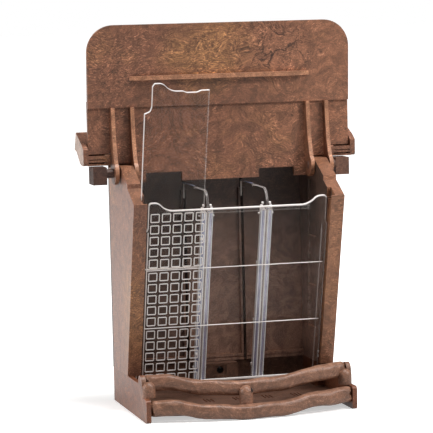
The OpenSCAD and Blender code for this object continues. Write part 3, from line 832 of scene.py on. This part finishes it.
@dataclass
class PerchRail:
    """One wavy, twig-like rail across the front of the tray."""

    node: str
    depth: float
    bow: float
    end_z: float
    sag: float
    reach: float
    radius: float = 6.8
    half_length: float = 94.4
    sag_x: float = -4.5
    back_y: float = 73.9
    steps: int = 44
    corner_share: float = 0.62
    bark: float = 5.5
    bark_height: float = 1.3
    bark_stretch: float = 5.0

    def centre(self, x: float) -> Vector:
        """Gives the rail's middle line.

        Args:
            x: Place along X in millimetres.

        Returns:
            The middle line's point in millimetres.
        """
        share = min(1.0, abs(x - self.sag_x) / self.reach)
        y = self.back_y - self.depth - self.bow * (1 - (x / self.half_length) ** 2)
        z = self.end_z - self.sag * (1 - share**2.2) + 0.5 * math.sin(math.radians(x * 9))
        return Vector((x, y, z))

    def girth(self, x: float) -> float:
        """Gives the rail's half height at x, in millimetres."""
        swell = 1 + 0.12 * (x / self.half_length) ** 4 - 0.04 * math.sin(math.radians(x * 5)) ** 2
        return self.radius * swell

    def build(self, finishes: Finishes) -> None:
        """Extrudes a rounded square along the middle line, a step at a time, and roughens it.

        Args:
            finishes: The feeder's finishes.
        """
        start = -self.half_length
        last, last_girth = self.centre(start), self.girth(start)
        bpy.ops.object.select_all(action="DESELECT")
        bpy.ops.mesh.primitive_plane_add(size=2.0)
        rail = bpy.context.active_object
        rail.data.transform(
            Matrix.Translation(last * MM)
            @ Euler((0.0, math.pi / 2, 0.0)).to_matrix().to_4x4()
            @ Matrix.Scale(last_girth * MM, 4)
        )
        with editing(rail, "VERT", "SELECT"):
            bpy.ops.mesh.bevel(affect="VERTICES", offset=last_girth * self.corner_share * MM, segments=3)
        with editing(rail, "FACE", "SELECT"):
            for step in range(1, self.steps + 1):
                x = start + 2 * self.half_length * step / self.steps
                here, girth = self.centre(x), self.girth(x)
                bpy.ops.mesh.extrude_region_move(TRANSFORM_OT_translate={"value": (here - last) * MM})
                ratio = girth / last_girth
                bpy.ops.transform.resize(value=(1.0, ratio, ratio), center_override=here * MM)
                last, last_girth = here, girth
            bpy.ops.mesh.select_all(action="SELECT")
            bpy.ops.mesh.normals_make_consistent(inside=False)
        apply_modifier(rail, "SUBSURF", levels=2, render_levels=2)
        clouds = bpy.data.textures.new(self.node + "_clouds", "CLOUDS")
        clouds.noise_scale = self.bark * MM
        clouds.noise_depth = 2
        # Squeezed along X while the clouds press in, so that they come out as long bark-like ridges
        rail.data.transform(Matrix.Diagonal((1 / self.bark_stretch, 1.0, 1.0, 1.0)))
        press = {"strength": self.bark_height * MM, "mid_level": 0.62, "texture_coords": "LOCAL"}
        apply_modifier(rail, "DISPLACE", texture=clouds, **press)
        rail.data.transform(Matrix.Diagonal((self.bark_stretch, 1.0, 1.0, 1.0)))
        smooth(rail, 50.0)
        rail.data.materials.append(finishes.rails)
        finish_piece(rail, self.node + "_twig", self.node)


@dataclass
class Tray:
    """The tray with its side plates and posts, and the two perch rails."""

    edge_radius: float = 0.8
    hole: Point = (0.0, 73.9, 25.0)
    hole_reach: float = 3.6
    bore_end_y: float = 70.0
    bore_end_share: float = 0.72
    floor_z: float = 8.0
    boss_y: float = 15.0
    inner_x: float = 86.0
    posts: tuple[tuple[float, float], ...] = ((-6.4, -57.1), (-92.5, -40.8), (92.5, -40.8))
    post_reach: float = 6.6

    def in_hole(self, at: Vector, _: Vector) -> bool:
        """Tells whether a point, in millimetres, lies in the line of the fixing hole."""
        return math.hypot(at.x - self.hole[0], at.z - self.hole[2]) < self.hole_reach

    def taper_bore(self, tray: Object) -> None:
        """Draws in the far end of the fixing hole, as its core pin's taper does.

        Args:
            tray: The tray.
        """
        share = self.bore_end_share
        with editing(tray, "VERT") as mesh:
            for vert in mesh.verts:
                at = vert.co / MM
                vert.select_set(self.in_hole(at, vert.normal) and at.y > self.bore_end_y)
            bpy.ops.transform.resize(value=(share, 1.0, share), center_override=Vector(self.hole) * MM)

    def rear_inside(self, at: Vector, normal: Vector) -> bool:
        """Tells whether a face of the tray is on the boss or the rear wall's inner side."""
        return at.y > self.boss_y and abs(at.x) < self.inner_x and normal.y < 0.5 and normal.z > -0.5

    def on_post(self, at: Vector, _: Vector) -> bool:
        """Tells whether a face's middle, in millimetres, is on one of the round posts."""
        high = at.z > self.floor_z + 1
        return high and any(math.hypot(at.x - x, at.y - y) < self.post_reach for x, y in self.posts)

    def build(self, finishes: Finishes) -> None:
        """Builds and dresses the tray.

        Args:
            finishes: The feeder's finishes.
        """
        tray = moulded_copy("base_tray", self.edge_radius, finishes.tray)
        self.taper_bore(tray)
        # Painted shade: the tray floor and the rear inside faces get the darker floor shade
        mark(tray, finishes.floor, lambda at, normal: normal.z > 0.7 and at.z < self.floor_z + 0.5)
        mark(tray, finishes.floor, self.rear_inside)
        mark(tray, finishes.rails, self.on_post)
        # Painted shade: the fixing hole's bore gets the near-black shade
        mark(tray, finishes.slot, self.in_hole)
        finish_piece(tray, "seed_tray", "base_tray")
        PerchRail("perch_rail_lower", 124.0, 17.0, 12.9, 6.2, 64.0).build(finishes)
        PerchRail("perch_rail_upper", 107.5, 14.0, 33.3, 7.6, 70.0).build(finishes)


@dataclass
class Roof:
    """The hinged two-board roof and its pins."""

    board_radius: float = 1.2
    pin_radius: float = 0.5
    rib_z: tuple[float, float] = (298.0, 306.0)
    rib_y: float = 30.0
    cheeks: tuple[float, float] = (102.5, 84.7)
    cheek_half: float = 2.2
    cheek_top: float = 285.0
    hinge: tuple[float, float] = (27.4, 218.0)
    bore_reach: float = 6.0

    def cross_rib(self, at: Vector, normal: Vector) -> bool:
        """Tells whether a face of the lid is on its cross rib, but not on the rib's underside."""
        low, high = self.rib_z
        return low < at.z < high and at.y < self.rib_y and normal.z > -0.5

    def cheek_edge(self, at: Vector, normal: Vector) -> bool:
        """Tells whether a face of the lid is a cheek's front edge.

        Args:
            at: The face's middle in millimetres.
            normal: The face's normal.

        Returns:
            True on the forward edges outside the pins' bores.
        """
        near = any(abs(abs(at.x) - x) < self.cheek_half for x in self.cheeks)
        clear = math.hypot(at.y - self.hinge[0], at.z - self.hinge[1]) > self.bore_reach
        return near and clear and normal.y < -0.6 and at.z < self.cheek_top

    def build(self, finishes: Finishes) -> None:
        """Builds and dresses the roof and the pins.

        Args:
            finishes: The feeder's finishes.
        """
        lid = moulded_copy("roof_lid", self.board_radius, finishes.lid)
        # Painted highlight: the cross rib and the cheeks' front edges get the paler rib shade
        mark(lid, finishes.rib, self.cross_rib)
        mark(lid, finishes.rib, self.cheek_edge)
        finish_piece(lid, "hinged_roof", "roof_lid", Body.ROOF)
        for side, body in ((Side.LEFT, Body.PIN_LEFT), (Side.RIGHT, Body.PIN_RIGHT)):
            word = side.name.lower()
            pin = moulded_copy(f"hinge_pin_{word}", self.pin_radius, finishes.pins)
            finish_piece(pin, f"ridged_pin_{word}", f"hinge_pin_{word}", body)


@dataclass
class ClearFront:
    """The clear front panel with its mesh, and the raised sliding window, both on the leaning front."""

    lean: float = 15.0
    origin: Point = (0.0, -21.7, 186.0)
    thickness: float = 2.2
    height: float = 171.0
    groove_half: float = 89.9
    half: float = 84.0
    neck: float = 20.0
    ear_w: float = 9.4
    ear_run: float = 7.6
    ear_h: float = 8.0
    rim: float = 0.8
    rib_pitch: float = 57.0
    rib_h: float = 0.45
    mesh_w: float = 52.5
    mesh_rows: int = 5
    mesh_cols: int = 5
    hole: float = 6.8
    hole_corner: float = 1.0
    ring: float = 8.4
    ring_t: float = 0.4
    stud_x: float = -33.6
    corner_studs: tuple[float, float] = (-148.0, -152.5)
    window_y: float = 4.2
    window_t: float = 2.0
    window_lift: float = 111.0
    window_right: float = -31.0
    window_rim: float = 0.5

    def place(self) -> Matrix:
        """Gives the move from the front's own frame to the row frame, in metres."""
        return Matrix.Translation(Vector(self.origin) * MM) @ Matrix.Rotation(math.radians(self.lean), 4, "X")

    def rounded_square(self, size: float, y: float, depth: float) -> Object:
        """Makes a square prism along Y with rounded corners.

        Args:
            size: Side of the square in millimetres.
            y: Middle along Y in millimetres.
            depth: Extent along Y in millimetres.

        Returns:
            The prism, in the middle of X and Z.
        """
        one = bar((0.0, y, 0.0), (size, depth, size), 0.0)
        with editing(one, "EDGE") as mesh:
            for edge in mesh.edges:
                along = (edge.verts[0].co - edge.verts[1].co).normalized()
                edge.select_set(abs(along.y) > 0.9)
            bpy.ops.mesh.bevel(offset=self.hole_corner * MM, segments=3, affect="EDGES")
        return one

    def repeat(self, one: Object) -> Object:
        """Copies a piece to the seventy-five places of the mesh.

        Args:
            one: The piece, which is used up.

        Returns:
            One object that holds all the copies.
        """
        column = self.mesh_w / self.mesh_cols
        row = (self.rib_pitch - 2) / self.mesh_rows
        across = [-self.half + 1.2 + (c + 0.5) * column for c in range(self.mesh_cols)]
        down = [-1 - (r + 0.5) * row for r in range(self.mesh_rows)]
        groups = [-group * self.rib_pitch for group in range(3)]
        copies = [own_copy(one, (x, 0.0, top + z)) for top in groups for z in down for x in across]
        first = copies.pop()
        join(first, copies)
        bpy.data.objects.remove(one)
        return first

    def rings(self) -> Object:
        """Makes the raised rims of the mesh holes.

        Returns:
            One object that holds them all.
        """
        one = self.rounded_square(self.ring, -self.ring_t / 2 + 0.1, self.ring_t + 0.2)
        inset_broad(one, (self.ring - self.hole) / 2, bridged=True)
        return self.repeat(one)

    def build_panel(self, finishes: Finishes) -> None:
        """Builds the front panel: outline, mesh holes with rounded rims, beads and ribs.

        Args:
            finishes: The feeder's finishes.
        """
        sheet, edge, thin_edge = finishes.sheet, finishes.edge, finishes.thin_edge
        wide, half, low = self.groove_half, self.half, -self.height
        ear_x = half - self.ear_w
        right = [
            (wide, -self.neck - 2, 0.0),
            (half, -self.neck + 2, 2.0),
            (half, self.ear_h, 3.0),
            (ear_x, self.ear_h, 3.4),
            (ear_x - self.ear_run, 0.0, 6.0),
        ]
        outline = [(-wide, low, 0.0), (wide, low, 0.0), *right, *[(-x, z, r) for x, z, r in reversed(right)]]
        panel = plate(outline, self.thickness, sheet, edge, self.rim)
        mark(panel, thin_edge, lambda at, _: at.x > half - 2 and at.z < self.ear_h - 2, edge)
        cutter = self.repeat(self.rounded_square(self.hole, self.thickness / 2, 10.0))
        apply_modifier(panel, "BOOLEAN", operation="DIFFERENCE", solver="EXACT", object=cutter)
        bpy.data.objects.remove(cutter)
        rib_w, side_z, side_h = 2 * half - 1, (low - self.neck) / 2, self.height - self.neck
        # Finish, X and Z of the middle, extents along X and Z, and rounding
        shapes = [
            (edge, 0.0, -self.rib_pitch, rib_w, self.rib_h, 0.2),
            (edge, 0.0, -2 * self.rib_pitch, rib_w, self.rib_h, 0.2),
            (edge, 0.0, low + 1.2, rib_w, 2.2, 0.6),
            (edge, -half + 0.3, side_z, 0.9, side_h, 0.4),
            (thin_edge, half + 1.2, side_z, 0.9, side_h, 0.3),
            (thin_edge, half - 3.4, side_z, 0.7, side_h, 0.2),
        ]
        shapes += [(edge, self.stud_x, -(row + 0.5) * self.rib_pitch, 2.4, 3.0, 0.7) for row in range(3)]
        shapes += [(edge, half + 1.4, z, 1.4, 2.4, 0.5) for z in self.corner_studs]
        bars = [bar((x, -0.4, z), (w, 1.6, h), radius, finish) for finish, x, z, w, h, radius in shapes]
        bars.append(bar((0.0, -0.4, -2.2), (2 * (half - 17) + 2, 1.6, 3.2), 0.3, sheet, thin_edge))
        rings = self.rings()
        mark(rings, edge, lambda *_: True)
        join(panel, [*bars, rings])
        smooth(panel)
        panel.data.transform(self.place())
        finish_piece(panel, "meshed_front_panel", "front_panel")

    def build_window(self, finishes: Finishes) -> None:
        """Builds the raised window with its tab, dip and grooved left edge.

        Args:
            finishes: The feeder's finishes.
        """
        groove, left, right = -self.groove_half, -self.half, self.window_right
        low, ear_h, neck = 2 - self.height, self.ear_h, -self.neck
        outline = [
            (groove, low, 0.0),
            (right, low, 0.0),
            (right, 0.4, 0.0),
            (right - 8, 0.4, 1.2),
            (right - 11, -1.2, 1.2),
            (right - 21, -1.2, 1.2),
            (right - 24, 0.3, 1.2),
            (left + 17.6, 0.5, 5.0),
            (left + 10, ear_h, 3.0),
            (left + 2.4, ear_h, 1.0),
            (left + 0.5, ear_h - 3, 0.0),
            (left + 0.5, neck + 6, 1.5),
            (left - 1, neck + 2, 1.0),
            (groove, neck, 0.0),
        ]
        window = plate(outline, self.window_t, finishes.sheet, finishes.edge, self.window_rim)
        mark(window, finishes.thin_edge, lambda at, _: at.x > right - 3, finishes.edge)
        smooth(window)
        shift = Matrix.Translation(Vector((0.0, self.window_y, self.window_lift)) * MM)
        window.data.transform(self.place() @ shift)
        finish_piece(window, "raised_window", "sliding_window", Body.WINDOW)

    def build(self, finishes: Finishes) -> None:
        """Builds both clear pieces."""
        self.build_panel(finishes)
        self.build_window(finishes)


@dataclass
class Divider:
    """A clear divider: a flat web with a rounded top, and two pairs of guide rails at its front."""

    side: Side
    place: Matrix
    x: float = 28.0
    thickness: float = 2.0
    rim: float = 0.6
    back_y: float = 73.9
    front_y: float = 29.9
    top_z: float = 203.3
    foot_z: float = 8.3
    corner: float = 12.0
    rail_height: float = 167.0
    rail_low: float = -171.0
    rails_y: tuple[float, float] = (3.1, 7.2)
    rail_w: float = 4.7
    rail_t: float = 1.2
    lines_x: tuple[float, ...] = (-4.9, -1.6, 1.6, 4.9)
    line_w: float = 0.8
    rib_pitch: float = 57.0

    def outline(self) -> list[Point]:
        """Gives the web's outline.

        Returns:
            Corners as Y, Z and no rounding, from the foot of the back edge round to the front.
        """
        top, corner = self.top_z, self.corner
        depth = [(5.4, self.foot_z), (5.4, top), (47.0, top), (50.0, top - 2.2), (53.0, top - 0.6)]
        for step in range(9):
            turn = math.pi / 2 * step / 8
            across, up = corner * math.sin(turn), corner * math.cos(turn)
            depth.append((93.6 - corner + across, top - 0.8 - corner + up))
        depth += [(46.1, 20.8), (38.1, self.foot_z)]
        return [(self.back_y - d, z, 0.0) for d, z in depth]

    def web(self, finishes: Finishes) -> Object:
        """Makes the flat web, whose edges look bright, thin or hazed by where they lie.

        Args:
            finishes: The feeder's finishes.

        Returns:
            The web in its place.
        """
        channel, thin_edge = finishes.channel, finishes.thin_edge
        web = plate(self.outline(), self.thickness, finishes.sheet, channel, self.rim)
        top = self.top_z - 15
        mark(web, finishes.sheet, lambda at, _: at.z <= top and at.x >= self.front_y, channel)
        mark(web, thin_edge, lambda at, _: at.x < self.front_y, channel)
        # Painted highlight: the rim round the web's top gets the white edge shade
        mark(web, finishes.edge, lambda at, normal: at.z > top and abs(normal.y) > 0.9, thin_edge)
        shift = Vector((self.side.value * self.x + self.thickness / 2, 0.0, 0.0)) * MM
        web.data.transform(Matrix.Translation(shift) @ Matrix.Rotation(math.pi / 2, 4, "Z"))
        return web

    def build(self, finishes: Finishes) -> None:
        """Builds the web, the guide rails and the clips.

        Args:
            finishes: The feeder's finishes.
        """
        word, middle = self.side.name.lower(), self.side.value * self.x
        centre_z = self.rail_low + self.rail_height / 2
        parts = []
        for y in self.rails_y:
            for away in (-2.9, 2.9):
                size = (self.rail_w, self.rail_t, self.rail_height)
                parts.append(bar((middle + away, y, centre_z), size, 0.6, finishes.channel, finishes.edge))
            parts.append(bar((middle, y, centre_z), (1.2, 0.6, self.rail_height), 0.0, finishes.sheet))
        line_y = self.rails_y[0] - self.rail_t / 2 - 0.05
        # Painted light: the guide lines are thin white bars
        for away in self.lines_x:
            size = (self.line_w, 0.4, self.rail_height)
            parts.append(bar((middle + away, line_y, centre_z), size, 0.0, finishes.line))
        # Distance from the middle, Z, and extents along X and Z
        clips = [(5.6, z, 1.6, 3.0) for z in (-self.rib_pitch, -2 * self.rib_pitch, self.rail_low + 12)]
        clips += [(5.2, -4.5, 1.0, 7.0), (6.2, -8.6, 2.4, 1.4), (4.2, -1.0, 2.4, 1.4), (3.4, 1.2, 2.0, 2.0)]
        for away, z, wide, high in clips:
            for x in (middle - away, middle + away):
                parts.append(bar((x, self.rails_y[1] - 1, z), (wide, 2.2, high), 0.45, finishes.edge))
        for part in parts:
            part.data.transform(self.place)
        back_edge = (middle, self.back_y - 6.2, self.top_z - 8)
        parts.append(bar(back_edge, (1.2, 1.2, 14.0), 0.2, finishes.edge))
        web = self.web(finishes)
        join(web, parts)
        smooth(web)
        finish_piece(web, f"clear_divider_{word}", f"divider_{word}")


@dataclass
class Fasteners:
    """The screws, whose CAD solids stay and get their metal."""

    nodes: tuple[str, ...] = ("housing_screws", "back_screws", "rear_roof_screws")

    def build(self, finishes: Finishes) -> None:
        """Dresses the screws.

        Args:
            finishes: The feeder's finishes.
        """
        for node in self.nodes:
            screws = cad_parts[node]
            screws.data.materials.clear()
            screws.data.materials.append(finishes.steel)
            LOG.info("%s: CAD solid with zinc-plated steel", node)


@dataclass
class Studio:
    """Camera, lamps, white surround and paper floor."""

    focal_px: float = 2348.97
    image_px: int = 433
    roll: float = -1.3
    aim: Point = (0.25878141, 0.9606757, -0.10066965)
    eye: Point = (-0.571018, -2.064484, 0.392936)
    surround: float = 0.22
    middle: Point = (0.0, 0.0, 0.18)
    lamps: tuple[tuple[str, Point, float, float], ...] = (
        ("top_lamp", (0.15, -0.25, 1.75), 0.5, 27.0),
        ("key_lamp", (1.3, -1.2, 1.5), 0.6, 31.0),
        ("left_lamp", (-2.2, 0.25, 0.7), 1.2, 37.0),
    )

    def add_camera(self) -> None:
        """Adds the camera at the photograph's viewing angle."""
        forward = Vector(self.aim).normalized()
        right = forward.cross(Vector((0.0, 0.0, 1.0))).normalized()
        up = right.cross(forward)
        roll = math.radians(self.roll)
        across = math.cos(roll) * right + math.sin(roll) * up
        above = -math.sin(roll) * right + math.cos(roll) * up
        camera = bpy.data.cameras.new("studio_camera")
        camera.sensor_width = 36.0
        camera.lens = self.focal_px / self.image_px * camera.sensor_width
        camera.clip_start, camera.clip_end = 0.1, 20.0
        obj = bpy.data.objects.new("studio_camera", camera)
        turn = Matrix((across, above, -forward)).transposed().to_4x4()
        obj.matrix_world = Matrix.Translation(Vector(self.eye)) @ turn
        bpy.context.scene.collection.objects.link(obj)
        bpy.context.scene.camera = obj

    def add_lamp(self, name: str, place: Vector, size: float, power: float) -> None:
        """Adds a square soft lamp that faces the feeder.

        Args:
            name: Name of the lamp.
            place: Its position in metres.
            size: Side of its square.
            power: Power in watts.
        """
        lamp = bpy.data.lights.new(name, "AREA")
        lamp.shape = "SQUARE"
        lamp.size = size
        lamp.energy = power
        obj = bpy.data.objects.new(name, lamp)
        turn = (Vector(self.middle) - place).to_track_quat("-Z", "Y").to_matrix().to_4x4()
        obj.matrix_world = Matrix.Translation(place) @ turn
        bpy.context.scene.collection.objects.link(obj)

    def add_surround(self) -> None:
        """Adds the white world: full strength where it is seen, weaker as light and in the gloss."""
        world = bpy.data.worlds.new("white_surround")
        world.use_nodes = True
        bpy.context.scene.world = world
        world.node_tree.nodes.clear()
        add = partial(add_node, world.node_tree)
        path = add("LightPath")
        seen = add("Math", (path["Is Camera Ray"], path["Is Transmission Ray"]), operation="MAXIMUM")[0]
        light, white = [add("Background", (WHITE, strength))[0] for strength in (self.surround, 1.0)]
        add("OutputWorld", [add("MixShader", (seen, light, white))[0]])

    def add_floor(self, finishes: Finishes) -> None:
        """Adds the paper floor under the feeder.

        Args:
            finishes: The feeder's finishes.
        """
        bpy.ops.object.select_all(action="DESELECT")
        bpy.ops.mesh.primitive_plane_add(size=30.0)
        floor = bpy.context.active_object
        floor.name = "paper_floor"
        floor.data.materials.append(finishes.paper)

    def build(self, finishes: Finishes) -> None:
        """Builds the studio.

        Args:
            finishes: The feeder's finishes.
        """
        bpy.context.scene.view_settings.view_transform = "Standard"
        # Sight lines cross up to a dozen clear faces, more than the default count lets through
        bpy.context.scene.cycles.transparent_max_bounces = 32
        self.add_camera()
        self.add_surround()
        self.add_floor(finishes)
        for name, place, size, power in self.lamps:
            self.add_lamp(name, Vector(place), size, power)
        LOG.info("studio: camera, surround, floor and %d lamps", len(self.lamps))


def main() -> None:
    """Builds the studio and the feeder's sub-assemblies in order."""
    logging.basicConfig(level=logging.INFO, format="%(name)s: %(message)s")
    finishes = Finishes()
    Studio().build(finishes)
    front = ClearFront()
    dividers = [Divider(side, front.place()) for side in Side]
    for assembly in (Housing(), Tray(), Roof(), front, *dividers, Fasteners()):
        assembly.build(finishes)


if __name__ == "__main__":
    main()
